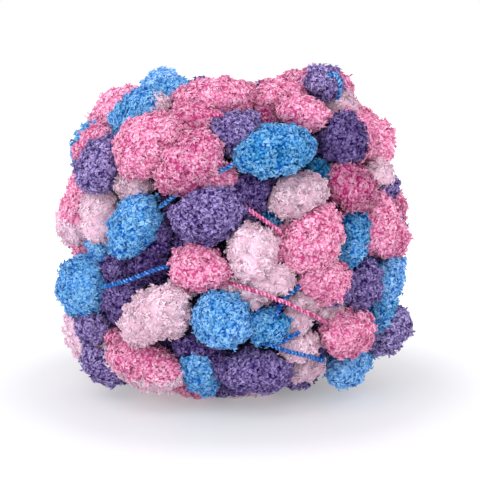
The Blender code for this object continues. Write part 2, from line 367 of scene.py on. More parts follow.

# The stage in metres: the floor, its glow, painted light that changes with the
# distance from the ball and so paints the shadow round it, and the lights, each
# with its place and size
FLOOR_REACH = 6.0
FLOOR_ROUGHNESS = 0.6
PAINTED_GLOW_STOPS = ((0.025, 0.42), (0.045, 0.62), (0.075, 0.5), (0.085, 0.5), (0.15, 0.95), (0.2, 1.0))
LIGHTS = (
    ("key", (-0.75, -0.85, 1.05), 0.9),
    ("top", (0.0, -0.35, 1.25), 1.3),
    ("fill", (-0.1, -1.4, 0.35), 1.2),
)

# The camera's frame in mm and in the photograph's pixels, and the form's middle in mm
SENSOR_WIDTH = 36.0
PICTURE_WIDTH = 480.0
BALL_SEEN_AT = (234.5, 227.0)
VIEW_SHIFT = (0.5 - BALL_SEEN_AT[0] / PICTURE_WIDTH, BALL_SEEN_AT[1] / PICTURE_WIDTH - 0.5)
FORM_MIDDLE = np.array([0.57, 1.69, MIDDLE_HEIGHT])


def normalised(vectors):
    """The vectors of an array's rows at length 1."""
    return vectors / np.linalg.norm(vectors, axis=1, keepdims=True)


def round_turns(count):
    """Angles spread evenly round a circle."""
    return np.arange(count) * 2.0 * np.pi / count


def directions(turn, rise):
    """Unit vectors for angles in radians: turn from -Y towards +X, rise from level to +Z."""
    level = np.cos(rise)
    return np.stack([np.sin(turn) * level, -np.cos(turn) * level, np.sin(rise)], axis=-1)


def form_radius(direction):
    """How far the barrel form reaches along each direction, in mm.

    The form is where (level distance)^n + (height)^n = 1, both as shares of its
    half sizes. The power n is the squareness above or below the middle.
    """
    share = direction / FORM_HALF_SIZE
    level = np.hypot(share[..., 0], share[..., 1])
    height = np.abs(share[..., 2])
    power = np.where(share[..., 2] > 0.0, SQUARENESS_ABOVE, SQUARENESS_BELOW)
    return (level ** power + height ** power) ** (-1.0 / power)


def on_form(direction):
    """The places on the form that the directions point to, in mm."""
    return direction * form_radius(direction)[:, None]


def lattice(count):
    """Directions spread evenly over a sphere, each a golden angle on from the last."""
    step = np.arange(count) + 0.5
    return directions(step * GOLDEN_ANGLE, np.arcsin(1.0 - 2.0 * step / count))


def filled_in(taken):
    """Directions that fill what the taken places leave open.

    Of many even trial places, the one farthest from every pompom so far gets the
    next one, until no place is farther from a pompom than the spacing.
    """
    trial = lattice(TRIAL_COUNT)
    places = on_form(trial)
    distance = np.linalg.norm(places[:, None, :] - taken[None, :, :], axis=2).min(axis=1)
    chosen = []
    while distance.max() > FILLING_SPACING:
        chosen.append(distance.argmax())
        distance = np.minimum(distance, np.linalg.norm(places - places[chosen[-1]], axis=1))
    return trial[chosen]


def spread(moving, fixed):
    """Push the moving directions apart, and off the fixed places, until they lie evenly.

    Each neighbour nearer than the spacing pushes with the share of the spacing
    that is missing, and after each step the places go back on to the form.
    """
    for _ in range(SPREADING_STEPS):
        places = on_form(moving)
        others = np.concatenate([places, fixed])
        apart = places[:, None, :] - others[None, :, :]
        distance = np.linalg.norm(apart, axis=2)
        missing = np.where(distance > 0.0, np.clip(1.0 - distance / POMPOM_SPACING, 0.0, 1.0), 0.0)
        push = (apart / np.maximum(distance, 1e-9)[..., None] * missing[..., None]).sum(axis=1)
        places = places + POMPOM_SPACING / 4.0 * push
        moving = normalised(places)
    return moving


def between(limits, share):
    """The value a share of the way from the lower limit to the upper one."""
    return limits[0] + (limits[1] - limits[0]) * share


def front_pompoms():
    """The pompoms of the table: directions, prouds, lengths, widths and leans."""
    turn, rise, proud, length, width, lean = np.array([row[:-1] for row in FRONT_POMPOMS], dtype=float).T
    return directions(np.radians(turn), np.radians(rise)), proud, length, width, np.radians(lean)


def hidden_pompoms(front_direction):
    """The pompoms of the rest of the ball, and the sunk ones between those of the table.

    Each size and lean steps on by a power of the golden share from one pompom to
    the next, so that like neighbours don't meet. The crown dips a little, as the
    middle of a wound ball does.
    """
    taken = on_form(front_direction)
    direction = spread(filled_in(taken), taken)
    number = np.arange(1, len(direction) + 1)
    length_share, lean_share, width_share = [(number * GOLDEN_SHARE ** power) % 1.0 for power in (1, 2, 3)]
    proud = between(HIDDEN_PROUD, lean_share)
    proud = np.where(direction[:, 2] > CROWN_BEYOND, CROWN_PROUD, proud)
    proud = np.where(direction[:, 1] < -FRONT_BEYOND, SUNK_PROUD, proud)
    length = between(HIDDEN_LENGTH, length_share)
    width = between(HIDDEN_WIDTH, width_share)
    return direction, proud, length, width, np.pi * lean_share


def inner_pompoms():
    """The next layer down, which shows in the gaps between the outer pompoms."""
    each = np.ones(INNER_COUNT)
    lean = np.pi * ((np.arange(INNER_COUNT) * GOLDEN_SHARE) % 1.0)
    return lattice(INNER_COUNT), -INNER_DEPTH * each, INNER_LENGTH * each, INNER_WIDTH * each, lean


def placed(direction, proud, length, width, lean):
    """Ellipsoids: their middles in mm, and their half axes as the rows of a matrix each.

    The long axis lies in the ball's surface, turned from level by the lean, the
    second lies across it and the third points outwards.
    """
    middle = on_form(direction) + direction * proud[:, None] + [0.0, 0.0, MIDDLE_HEIGHT]
    turn = np.arctan2(direction[:, 0], -direction[:, 1])
    level = np.stack([np.cos(turn), np.sin(turn), np.zeros_like(turn)], axis=1)
    upright = np.cross(direction, level)
    along = np.cos(lean)[:, None] * level + np.sin(lean)[:, None] * upright
    across = np.cross(direction, along)
    half = np.stack([length, width, width * POMPOM_FLATNESS], axis=1) / 2.0
    return middle, np.stack([along, across, direction], axis=1) * half[:, :, None]


def settled(middle, half_axes):
    """Let the pompoms under the ball down on to the floor, and centre the ball on its upright axis.

    A pompom near the axis whose underside is within the sag of the floor moves
    down until it dips into the floor by the pressed depth.
    """
    reach = np.linalg.norm(half_axes, axis=1)
    underside = middle[:, 2] - reach[:, 2]
    near = np.hypot(middle[:, 0], middle[:, 1]) < FOOT_REACH
    middle = middle.copy()
    middle[:, 2] -= np.where(near & (underside < FOOT_SAG), underside + FOOT_PRESSED, 0.0)
    low, high = (middle - reach).min(axis=0), (middle + reach).max(axis=0)
    middle[:, :2] -= (low + high)[:2] / 2.0
    return middle, half_axes


def colour_of(share, words):
    """The words' numbers, dealt out by a share from 0 to 1."""
    dealt = np.minimum((share * len(words)).astype(int), len(words) - 1)
    return np.array([COLOURS.index(word) for word in words])[dealt]


class WoundBall:
    """Every pompom of the ball: places, half axes, colours and how deep each one lies."""

    def __init__(self):
        front, inner = front_pompoms(), inner_pompoms()
        hidden = hidden_pompoms(front[0])
        groups = [placed(*front), placed(*hidden), placed(*inner)]
        self.middle, self.half = settled(*[np.concatenate(parts) for parts in zip(*groups)])
        self.into = self.half / (self.half ** 2).sum(axis=2, keepdims=True)
        self.count = len(self.middle)
        hidden_colour = colour_of((np.arange(len(hidden[0])) * GOLDEN_SHARE) % 1.0, HIDDEN_COLOURS)
        for word, numbers in FILLED_COLOURS.items():
            hidden_colour[list(numbers)] = COLOURS.index(word)
        inner_colour = colour_of((np.arange(INNER_COUNT) * GOLDEN_SHARE + 0.5) % 1.0, INNER_COLOURS)
        table_colour = [COLOURS.index(row[-1]) for row in FRONT_POMPOMS]
        self.colour = np.concatenate([table_colour, hidden_colour, inner_colour])
        proud = np.concatenate([front[1], hidden[1], inner[1]])
        self.sunk = np.clip(-proud / INNER_DEPTH, 0.0, 1.0)

    def near(self, number):
        """The numbers of the pompoms round this one that may cover it."""
        apart = np.linalg.norm(self.middle - self.middle[number], axis=1)
        return np.flatnonzero((apart < NEIGHBOUR_REACH) & (apart > 0.0))


def openness(ball, number, points, outward):
    """The share of lines from each point that leave the ball without meeting another pompom.

    One line goes straight outwards and the rest lean from it all round. A line
    p + t d meets an ellipsoid where |(p - c + t d) A| = 1 has a root ahead of p,
    with A the matrix that turns the ellipsoid into a unit ball.
    """
    level = normalised(np.cross(outward, [0.0, 0.0, 1.0]) + 1e-6)
    upright = np.cross(outward, level)
    angle = round_turns(LOOKS)[:, None, None]
    ring = np.cos(angle) * level + np.sin(angle) * upright
    rays = np.concatenate([outward[None], np.cos(LOOK_LEAN) * outward + np.sin(LOOK_LEAN) * ring])
    near = ball.near(number)
    into = ball.into[near]
    start = np.einsum("pmi,mji->pmj", points[:, None, :] - ball.middle[near], into)
    step = np.einsum("rpi,mji->rpmj", rays, into)
    square = (step ** 2).sum(axis=3)
    half = (start * step).sum(axis=3)
    gap = (start ** 2).sum(axis=2) - COVERING_SIZE ** 2
    root = half ** 2 - square * gap
    meets = (root > 0.0) & (np.sqrt(np.maximum(root, 0.0)) > half)
    return 1.0 - meets.any(axis=2).mean(axis=0)


def tone_and_shade_of(number):
    """Where across the map the wool of one pompom has its middle shade, with its own tone and its painted
    shade and light.
    """
    return SHADE_MIDDLE + sum(tone for tone, members in TONES_AND_PAINTED_SHADE if number in members)


def pile_on(half, sizes):
    """The length of a pompom's pile in mm, which a thin pompom has less of."""
    return min(sizes.pile_length / MILLIMETRE, THIN_PILE * 2.0 * np.linalg.norm(half[1]))


def ellipsoid_area(half):
    """A close rule for an ellipsoid's area: 4 pi times a power mean of its products of half axes."""
    a, b, c = np.linalg.norm(half, axis=1)
    powers = (a * b) ** AREA_POWER + (a * c) ** AREA_POWER + (b * c) ** AREA_POWER
    return 4.0 * np.pi * (powers / 3.0) ** (1.0 / AREA_POWER)


def lumpy(number, unit, half):
    """The places on a pompom's outside along each unit vector, from its middle.

    It is the ellipsoid made fuller or flatter by slow waves across a few
    directions, and thinner towards one end of its length than towards the other.
    """
    chance = np.random.default_rng(SEED * 3 + number)
    ways = chance.normal(0.0, 1.0, (3, LUMP_WAVES))
    ways *= LUMP_RATE / np.linalg.norm(ways, axis=0)
    waves = np.sin(unit @ ways + chance.uniform(0.0, 2.0 * np.pi, LUMP_WAVES))
    full = 1.0 + LUMP_FULLNESS + LUMP_SIZE * waves.sum(axis=1) / np.sqrt(LUMP_WAVES)
    taper = 1.0 + LUMP_TAPER * chance.uniform(-1.0, 1.0) * unit[:, 0]
    return (unit * np.stack([full, full * taper, full * taper], axis=1)) @ half


def clumps_at(number, unit, half, sizes):
    """What the clump that each unit vector falls in gives the pile there.

    The clumps' middles lie on a shaken golden-angle lattice, and each place
    belongs to the nearest. Farness is 0 at the clump's middle and about 1 at its
    edge, and the pile dips by its square.
    """
    chance = np.random.default_rng(SEED * 2 + number)
    middles = lattice(max(int(ellipsoid_area(half) / sizes.clump_area_mm2), LEAST_CLUMPS))
    middles = normalised(middles + chance.normal(0.0, LATTICE_SHAKE / np.sqrt(len(middles)), middles.shape))
    nearest = (unit @ middles.T).argmax(axis=1)
    towards = (middles[nearest] - unit) @ half
    farness = np.linalg.norm(towards, axis=1) / np.sqrt(sizes.clump_area_mm2 / np.pi)
    farness = np.clip(farness, 0.0, CLUMP_REACH)
    raised = chance.normal(0.0, sizes.unevenness / MILLIMETRE, len(middles))[nearest]
    return {
        "towards": towards,
        "farness": farness,
        "dip": sizes.crease_depth / MILLIMETRE * farness ** 2 - raised,
        "shade": chance.normal(0.0, CLUMP_SHADE, len(middles))[nearest],
        "way": chance.normal(0.0, 1.0, middles.shape)[nearest],
    }


def second_colour_side(ball, number, surface, jitter):
    """Which tufts of a two-coloured pompom stand on the side that has the second colour."""
    word, side_deg, part = TWO_COLOURED[number]
    angle = np.radians(side_deg)
    middle = ball.middle[number] - [0.0, 0.0, MIDDLE_HEIGHT]
    level = np.array([-middle[1], middle[0], 0.0])
    level /= np.linalg.norm(level)
    upright = np.cross(middle / np.linalg.norm(middle), level)
    half = ball.half[number]
    way = np.cos(angle) * level + np.sin(angle) * upright
    edge = (1.0 - 2.0 * part) * np.linalg.norm(half @ way)
    return surface @ way + jitter > edge, COLOURS.index(word)


def tuft_places(ball, number, sizes, chance):
    """Where the tufts of one pompom that show stand, on a shaken lattice over its lumpy outside.

    Each has a unit vector, its place from the pompom's middle, its outward
    direction and the share of its surroundings that is open.
    """
    half = ball.half[number]
    thinning = 1.0 - INNER_THINNING * ball.sunk[number] ** 2
    count = int(ellipsoid_area(half) * sizes.tufts_per_mm2 * thinning)
    unit = normalised(lattice(count) + chance.normal(0.0, LATTICE_SHAKE / np.sqrt(count), (count, 3)))
    surface = lumpy(number, unit, half)
    outward = normalised(unit @ ball.into[number])
    open_share = openness(ball, number, ball.middle[number] + surface, outward)
    keep = open_share > (LEAST_OPEN_SEEN if number < len(FRONT_POMPOMS) else LEAST_OPEN)
    return unit[keep], surface[keep], outward[keep], open_share[keep]


def tuft_points(surface, outward, clump, wide, length, sizes, chance):
    """The points of the tufts: a root, a ring of three at the belly, and a tip.

    A tuft leans towards its clump's middle by the pinch, and is shorter the
    farther it stands from it. Its tip curls over in a way of its own.
    """
    count = len(surface)
    spread_heights = np.where(wide, WIDE_HEIGHT, 1.0) + chance.normal(0.0, HEIGHT_SPREAD, count)
    height = length * spread_heights[:, None]
    root = surface - outward * (length + clump["dip"])[:, None]
    towards = clump["towards"] - (clump["towards"] * outward).sum(axis=1, keepdims=True) * outward
    lean = towards * sizes.clump_pinch + chance.normal(0.0, sizes.tangle / MILLIMETRE, (count, 3))
    ahead = normalised(np.cross(outward, chance.normal(0.0, 1.0, (count, 3)) + CLUMP_SWIRL * clump["way"]))
    side = np.cross(outward, ahead)
    bend = sizes.curl / MILLIMETRE * chance.uniform(*BEND_SPREAD, count)[:, None]
    belly = root + outward * height * BELLY_AT + lean * BELLY_AT
    tip = root + outward * (height - CURL_DROP * bend) + lean + ahead * bend
    fore = CURL_RISE * ahead - CURL_DIVE * outward
    radius = sizes.tuft_thickness / MILLIMETRE / 2.0 * chance.uniform(*GIRTH_SPREAD, count)
    radius = np.where(wide, WIDE_GIRTH * radius, radius)[:, None]
    ring = [belly + (fore * np.cos(turn) + side * np.sin(turn)) * radius for turn in round_turns(3)]
    return np.stack([root, *ring, tip], axis=1)


def coat_of_pile(ball, number, sizes):
    """The tufts of one pompom that show: their points, their shades and their colours."""
    chance = np.random.default_rng(SEED + number)
    unit, surface, outward, open_share = tuft_places(ball, number, sizes, chance)
    count = len(unit)
    if not count:
        return None
    half = ball.half[number]
    clump = clumps_at(number, unit, half, sizes)
    wide = chance.random(count) < WIDE_SHARE
    points = tuft_points(surface, outward, clump, wide, pile_on(half, sizes), sizes, chance)
    points += ball.middle[number]
    points[..., 2] = np.maximum(points[..., 2], FLOOR_CLEARANCE)

    # Painted shade: darker on sunk pompoms, on hid tufts, on the low wide tufts and in the creases; the
    # rest is the wool's own tone
    shade = tone_and_shade_of(number) + chance.normal(0.0, POMPOM_SHADE) + clump["shade"]
    shade += (chance.normal(0.0, TUFT_SHADE, count) - SUNK_SHADE * ball.sunk[number]
              - HID_SHADE * (1.0 - open_share))
    shade -= np.where(wide, WIDE_SHADE, 0.0) + CREASE_SHADE * clump["farness"] ** 2
    colour = np.full(count, ball.colour[number])
    if number in TWO_COLOURED:
        blur = chance.normal(0.0, SECOND_COLOUR_BLUR, count)
        there, second = second_colour_side(ball, number, surface, blur)
        colour[there] = second
    return points, np.clip(shade, *SHADE_LIMITS), colour


def tuft_faces(count):
    """Triangles of many tufts of five points: three from the root to the ring, three to the tip."""
    one = np.array([(0, 2, 1), (0, 3, 2), (0, 1, 3), (1, 2, 4), (2, 3, 4), (3, 1, 4)])
    return (one + TUFT_POINTS * np.arange(count)[:, None, None]).reshape(-1, 3)


def tuft_map(shade):
    """Where the tufts' points lie on the map: across by shade, up from the painted shade at the root to the
    painted light at the tip.
    """
    across = shade[:, None] + np.array(TUFT_ACROSS) * MAP_WIDTH
    up = np.broadcast_to(TUFT_UP, across.shape)
    return np.stack([across, up], axis=2).reshape(-1, 2)


def poled_grid(around, rings):
    """Unit vectors on a grid of rings between two poles, and the turn of each place on the rings."""
    rise = (np.arange(1, rings) / rings - 0.5) * np.pi
    rise, turn = np.meshgrid(rise, round_turns(around), indexing="ij")
    unit = directions(turn, rise).reshape(-1, 3)
    return np.concatenate([[[0.0, 0.0, -1.0]], unit, [[0.0, 0.0, 1.0]]]), turn.ravel()


def band_faces(start, around):
    """Two triangles for each place of the rings that begin at the start numbers, up to the next ring."""
    here = start[:, None] + np.arange(around)
    after = start[:, None] + (np.arange(around) + 1) % around
    one = np.stack([here, after, after + around], axis=2).reshape(-1, 3)
    two = np.stack([here, after + around, here + around], axis=2).reshape(-1, 3)
    return np.concatenate([one, two])


def core_faces(around, rings):
    """Triangles of a core: a fan at each pole, and bands between the rings."""
    here = np.arange(around)
    after = (here + 1) % around
    last = 1 + (rings - 1) * around
    bottom = np.stack([np.zeros_like(here), 1 + after, 1 + here], axis=1)
    top = np.stack([np.full_like(here, last), last - around + here, last - around + after], axis=1)
    return np.concatenate([bottom, band_faces(1 + np.arange(rings - 2) * around, around), top])


def core_shape(ball, number, colour, grid, sizes):
    """The points of one pompom's core and their places on the map.

    It is the lumpy ellipsoid with the clumps' dips, closed and set in. A
    two-coloured pompom has a core in each colour, set farther in on the side
    that isn't its own.
    """
    half = ball.half[number]
    unit, turn = poled_grid(*grid)
    outward = normalised(unit @ ball.into[number])
    clump = clumps_at(number, unit, half, sizes)
    inset = CORE_SINK * pile_on(half, sizes) + clump["dip"]
    surface = lumpy(number, unit, half)
    if number in TWO_COLOURED:
        there, second = second_colour_side(ball, number, surface, 0.0)
        inset += np.where(there == (colour == second), 0.0, OTHER_SINK)
    core = surface - outward * inset[:, None] + ball.middle[number]
    core[:, 2] = np.maximum(core[:, 2], 2.0 * FLOOR_CLEARANCE)
    # Painted shade in the creases and on sunk pompoms, with the wool's own tones
    shade = tone_and_shade_of(number) + clump["shade"] - CREASE_SHADE * clump["farness"] ** 2
    shade = np.clip(shade - SUNK_SHADE * ball.sunk[number], *SHADE_LIMITS)
    up = np.concatenate([[CORE_UP], CORE_UP + CORE_WAVE * np.sin(2.0 * turn), [CORE_UP]])
    return core, np.stack([shade, up], axis=1)


def joined(parts):
    """Several shapes as one: points, triangles, places on the map, and which triangles are smooth."""
    starts = np.cumsum([0] + [len(part[0]) for part in parts[:-1]])
    faces = np.concatenate([part[1] + start for part, start in zip(parts, starts)])
    points, places = [np.concatenate([part[column] for part in parts]) for column in (0, 2)]
    return points, faces, places, np.concatenate([np.full(len(part[1]), part[3]) for part in parts])


def heart_shape():
    """The wound wool deep in the ball, behind the lower pompoms: the barrel form, set in."""
    unit, _ = poled_grid(*HEART_GRID)
    points = unit * (form_radius(unit) - HEART_DEPTH)[:, None] + FORM_MIDDLE
    return joined([(points, core_faces(*HEART_GRID), np.full((len(points), 2), HEART_SHADE), True)])


def pile_piece(ball, colour, front, sizes):
    """All the cores and tufts of one colour, on one half of the ball, as one shape."""
    parts = []
    for number in range(ball.count):
        if (ball.middle[number, 1] < 0.0) != front:
            continue
        if ball.colour[number] != colour and TWO_COLOURED.get(number, (None,))[0] != COLOURS[colour]:
            continue
        coat = coat_of_pile(ball, number, sizes)
        if coat is None:
            continue
        tufts, shade, tuft_colour = coat
        mine = tuft_colour == colour
        parts.append((tufts[mine].reshape(-1, 3), tuft_faces(mine.sum()), tuft_map(shade[mine]), False))
        grid = INNER_CORE_GRID if ball.sunk[number] > INNER_BEYOND else CORE_GRID
        core, core_map = core_shape(ball, number, colour, grid, sizes)
        parts.append((core, core_faces(*grid), core_map, True))
    return joined(parts)


def mesh_piece(name, points, faces, places, smooth, material):
    """A piece of triangles from whole arrays, in mm, with its map, riding on the ball."""
    mesh = bpy.data.meshes.new(name)
    mesh.vertices.add(len(points))
    mesh.vertices.foreach_set("co", (points * MILLIMETRE).astype(np.float32).ravel())
    mesh.loops.add(faces.size)
    mesh.loops.foreach_set("vertex_index", faces.astype(np.int32).ravel())
    mesh.polygons.add(len(faces))
    mesh.polygons.foreach_set("loop_start", np.arange(0, faces.size, 3, dtype=np.int32))
    layer = mesh.uv_layers.new(name=MAP_NAME)
    layer.uv.foreach_set("vector", places[faces.ravel()].astype(np.float32).ravel())
    mesh.update(calc_edges=True)
    mesh.polygons.foreach_set("use_smooth", smooth)
    mesh.materials.append(material)
    piece = bpy.data.objects.new(name, mesh)
    bpy.context.scene.collection.objects.link(piece)
    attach(piece, BODY)
    return piece


def smooth_through(stops, count):
    """A curve through the stops: cubics whose slope at each stop is that of its neighbours' chord."""
    stops = np.asarray(stops, dtype=float)
    slope = np.gradient(stops, axis=0)
    place = np.linspace(0.0, len(stops) - 1.0, count)
    before = np.minimum(place.astype(int), len(stops) - 2)
    t = (place - before)[:, None]
    return ((1 + 2 * t) * (1 - t) ** 2 * stops[before] + t * (1 - t) ** 2 * slope[before]
            + t * t * (3 - 2 * t) * stops[before + 1] - t * t * (1 - t) * slope[before + 1])


def cord_route(stops):
    """Where a stretch of cord lies, in mm: a smooth curve through its stops round the ball's middle."""
    turn, rise, distance = smooth_through(stops, ROUTE_POINTS).T
    return directions(np.radians(turn), np.radians(rise)) * distance[:, None] + FORM_MIDDLE


def even_path(path, spacing):
    """The path with points at an even spacing, how far along each lies, and two normals at each."""
    length = np.concatenate([[0.0], np.cumsum(np.linalg.norm(np.diff(path, axis=0), axis=1))])
    along = np.linspace(0.0, length[-1], max(int(length[-1] / spacing), 8))
    even = np.stack([np.interp(along, length, path[:, axis]) for axis in range(3)], axis=1)
    tangent = normalised(np.gradient(even, axis=0))
    outward = even - FORM_MIDDLE
    first = normalised(outward - (outward * tangent).sum(axis=1, keepdims=True) * tangent)
    return even, along, first, np.cross(tangent, first)


def swept(centre, first, second, radius):
    """A round profile carried along a path, with a point at each end: points and triangles."""
    turn = round_turns(PLY_SIDES)[None, :, None]
    ring = np.cos(turn) * first[:, None, :] + np.sin(turn) * second[:, None, :]
    body = centre[:, None, :] + ring * radius
    points = np.concatenate([body.reshape(-1, 3), centre[:1], centre[-1:]])
    here = np.arange(PLY_SIDES)
    after = (here + 1) % PLY_SIDES
    end = len(centre) * PLY_SIDES
    last = end - PLY_SIDES
    bands = band_faces(np.arange(len(centre) - 1) * PLY_SIDES, PLY_SIDES)
    first_end = np.stack([np.full(PLY_SIDES, end), after, here], axis=1)
    last_end = np.stack([np.full(PLY_SIDES, end + 1), last + here, last + after], axis=1)
    return points, np.concatenate([bands, first_end, last_end])


def twisted_cord(lightness_and_shade, stops, sizes):
    """Two plies wound round each other along the route, each as a shape with its map.

    Each ply's middle is the route plus a turning offset, once round for each
    pitch, half a turn apart. Across the map goes a slow change of shade, and up
    it goes each ply's turn, so that the outside of the twist is the lightest and
    the grooves between the plies take painted shade. The lightness lowers a
    stretch that lies in shade, as painted shade too.
    """
    path, along, first, second = even_path(cord_route(stops), CORD_STEP)
    thick = sizes.cord_thickness / MILLIMETRE
    around = round_turns(PLY_SIDES)
    plies = []
    for ply in range(2):
        turn = 2.0 * np.pi * along / (sizes.cord_pitch / MILLIMETRE) + ply * np.pi
        out = np.cos(turn)[:, None] * first + np.sin(turn)[:, None] * second
        points, faces = swept(path + out * (thick * PLY_OFFSET), first, second, thick * PLY_RADIUS)
        wave = CORD_WAVE * np.sin(along * CORD_WAVE_RATE + ply)
        across = MAP_MIDDLE + wave[:, None] + MAP_WIDTH * np.cos(around)
        # Painted light on the outside of the twist, painted shade in its grooves
        up = lightness_and_shade + TWIST_GROOVE_SHADE * np.cos(around[None, :] - turn[:, None])
        places = np.stack([across, up], axis=2).reshape(-1, 2)
        plies.append((points, faces, np.concatenate([places, [CORD_END, CORD_END]]), True))
    return plies


def new_node(tree, kind, inputs, **settings):
    """A node with its settings made, and its inputs filled by numbers or linked from sockets."""
    node = tree.nodes.new(kind)
    for name, value in settings.items():
        setattr(node, name, value)
    for name, value in inputs.items():
        if isinstance(value, bpy.types.NodeSocket):
            tree.links.new(value, node.inputs[name])
        else:
            node.inputs[name].default_value = value
    return node


def smooth_step(tree, value, low, high):
    """A socket that goes smoothly from 0 to 1 as the value goes from the low number to the high one."""
    inputs = {"Value": value, "From Min": low, "From Max": high}
    return new_node(tree, "ShaderNodeMapRange", inputs, interpolation_type="SMOOTHSTEP").outputs["Result"]


def grain_height(tree):
    """How high the curled wool stands, from 0 in the cracks to 1: rounded cells, stirred by noise. It makes
    the bump and the painted shade in the cracks.
    """
    where = tree.nodes.new("ShaderNodeTexCoord").outputs["Object"]
    stir = new_node(tree, "ShaderNodeTexNoise", {"Vector": where, "Scale": STIR_PER_M, "Detail": 1.0})
    stirred = new_node(
        tree, "ShaderNodeVectorMath", {0: stir.outputs["Color"], 1: (STIR_DEPTH,) * 3, 2: where},
        operation="MULTIPLY_ADD")
    places = stirred.outputs["Vector"]
    cells = new_node(tree, "ShaderNodeTexVoronoi", {"Vector": places, "Scale": GRAINS_PER_M})
    return smooth_step(tree, cells.outputs["Distance"], GRAIN_EDGE, 0.0)


def shade_group():
    """A node group that colours wool by the piece's map, and says how high its grain stands.

    Up the map the colour goes from painted shade deep in the pile through the
    body colour to painted light at the tips, and the grain's cracks take the
    painted shade too. Across it the wool gets lighter by the variety, which holds
    the wool's own tones and the painted shade of deep wool, and a little paler.
    """
    name = "Wool shade"
    if name in bpy.data.node_groups:
        return bpy.data.node_groups[name]
    tree = bpy.data.node_groups.new(name, "ShaderNodeTree")
    for socket in ("Hollow", "Body", "Tip"):
        tree.interface.new_socket(socket, in_out="INPUT", socket_type="NodeSocketColor")
    tree.interface.new_socket("Variety", in_out="INPUT", socket_type="NodeSocketFloat")
    tree.interface.new_socket("Colour", in_out="OUTPUT", socket_type="NodeSocketColor")
    tree.interface.new_socket("Height", in_out="OUTPUT", socket_type="NodeSocketFloat")
    given = tree.nodes.new("NodeGroupInput").outputs
    place = new_node(tree, "ShaderNodeUVMap", {}, uv_map=MAP_NAME)
    parts = new_node(tree, "ShaderNodeSeparateXYZ", {"Vector": place.outputs["UV"]}).outputs
    grain = grain_height(tree)

    def worked_out(operation, *numbers):
        node = new_node(tree, "ShaderNodeMath", dict(enumerate(numbers)), operation=operation)
        return node.outputs["Value"]

    # Painted shade: the grain's cracks move the colour down the map towards the hollows' shade
    crack_shaded_up = worked_out("MULTIPLY_ADD", grain, GRAIN_CRACK_SHADE, parts["Y"])

    def mixed(first, second, low, high):
        share = smooth_step(tree, crack_shaded_up, low + GRAIN_CRACK_SHADE / 2.0, high + GRAIN_CRACK_SHADE / 2.0)
        inputs = {"Factor": share, "A": first, "B": second}
        return new_node(tree, "ShaderNodeMix", inputs, data_type="RGBA").outputs["Result"]

    lower = mixed(given["Hollow"], given["Body"], *BODY_RISE)
    whole = mixed(lower, given["Tip"], *TIP_RISE)
    lightness_and_shade = worked_out("SUBTRACT", parts["X"], MAP_MIDDLE)
    tone = new_node(tree, "ShaderNodeHueSaturation", {
        "Value": worked_out("MULTIPLY_ADD", lightness_and_shade, given["Variety"], 1.0),
        "Saturation": worked_out("MULTIPLY_ADD", lightness_and_shade, -PALING, 1.0),
        "Color": whole,
    })
    new_node(tree, "NodeGroupOutput", {"Colour": tone.outputs["Color"], "Height": grain})
    return tree


def wool(name, hollow_shade, body, tip, settings):
    """A soft, dull wool material that wears the shade group with its own three colours."""
    material = bpy.data.materials.new(name)
    material.use_nodes = True
    tree = material.node_tree
    colours = {"Hollow": (*hollow_shade, 1.0), "Body": (*body, 1.0), "Tip": (*tip, 1.0)}
    shade = new_node(
        tree, "ShaderNodeGroup", {**colours, "Variety": settings.variety_and_shade}, node_tree=shade_group())
    bump = new_node(
        tree, "ShaderNodeBump",
        {"Strength": GRAIN_STRENGTH, "Distance": GRAIN_DEPTH, "Height": shade.outputs["Height"]})
    shader = tree.nodes["Principled BSDF"]
    tree.links.new(shade.outputs["Colour"], shader.inputs["Base Color"])
    tree.links.new(bump.outputs["Normal"], shader.inputs["Normal"])
    for socket, value in WOOL_SURFACE.items():
        shader.inputs[socket].default_value = value
    shader.inputs["Sheen Tint"].default_value = (*tip, 1.0)
    return material


def srgb(red, green, blue):
    """A colour given as it shows, from 0 to 255, as the linear numbers that shaders take."""
    shown = np.array([red, green, blue]) / 255.0
    linear = np.where(shown < 0.04045, shown / 12.92, ((shown + 0.055) / 1.055) ** 2.4)
    return tuple(float(value) for value in linear)


def colour_property(name, description, red, green, blue):
    """A colour setting with its default given as it shows."""
    return bpy.props.FloatVectorProperty(
        name=name, description=description, subtype="COLOR", size=3, min=0.0, max=1.0,
        default=srgb(red, green, blue))


def number_property(name, description, default, low, high, unit="NONE"):
    """A number setting between two limits."""
    return bpy.props.FloatProperty(
        name=name, description=description, default=default, min=low, max=high, unit=unit)


class YarnSizes(bpy.types.PropertyGroup):
    """Sizes of the pile and the cord."""

    pile_length: number_property(
        "Pile length", "From a tuft's root to its tip", 0.0034, 0.001, 0.008, "LENGTH")
    tuft_thickness: number_property(
        "Tuft thickness", "Width of a tuft where it is fullest", 0.001, 0.0003, 0.003, "LENGTH")
    tufts_per_mm2: number_property(
        "Tufts per mm2", "How many tufts stand on a square millimetre of pompom", 1.275, 0.1, 3.0)
    clump_area_mm2: number_property(
        "Clump area", "Pompom surface under one clump of tufts, in square millimetres", 20.0, 2.0, 60.0)
    clump_pinch: number_property("Clump pinch", "How far the tips lean together in a clump", 0.22, 0.0, 1.0)
    crease_depth: number_property(
        "Crease depth", "How far the pile dips between two clumps", 0.0013, 0.0, 0.004, "LENGTH")
    unevenness: number_property(
        "Unevenness", "How much the clumps differ in height", 0.0005, 0.0, 0.002, "LENGTH")
    tangle: number_property("Tangle", "How far single tufts lean at random", 0.0005, 0.0, 0.003, "LENGTH")
    curl: number_property("Curl", "How far the end of a tuft curls over", 0.0018, 0.0, 0.004, "LENGTH")
    cord_thickness: number_property(
        "Cord thickness", "Across both plies of the cord", 0.0019, 0.001, 0.006, "LENGTH")
    cord_pitch: number_property(
        "Cord pitch", "Length of one full twist of the cord", 0.0031, 0.001, 0.02, "LENGTH")


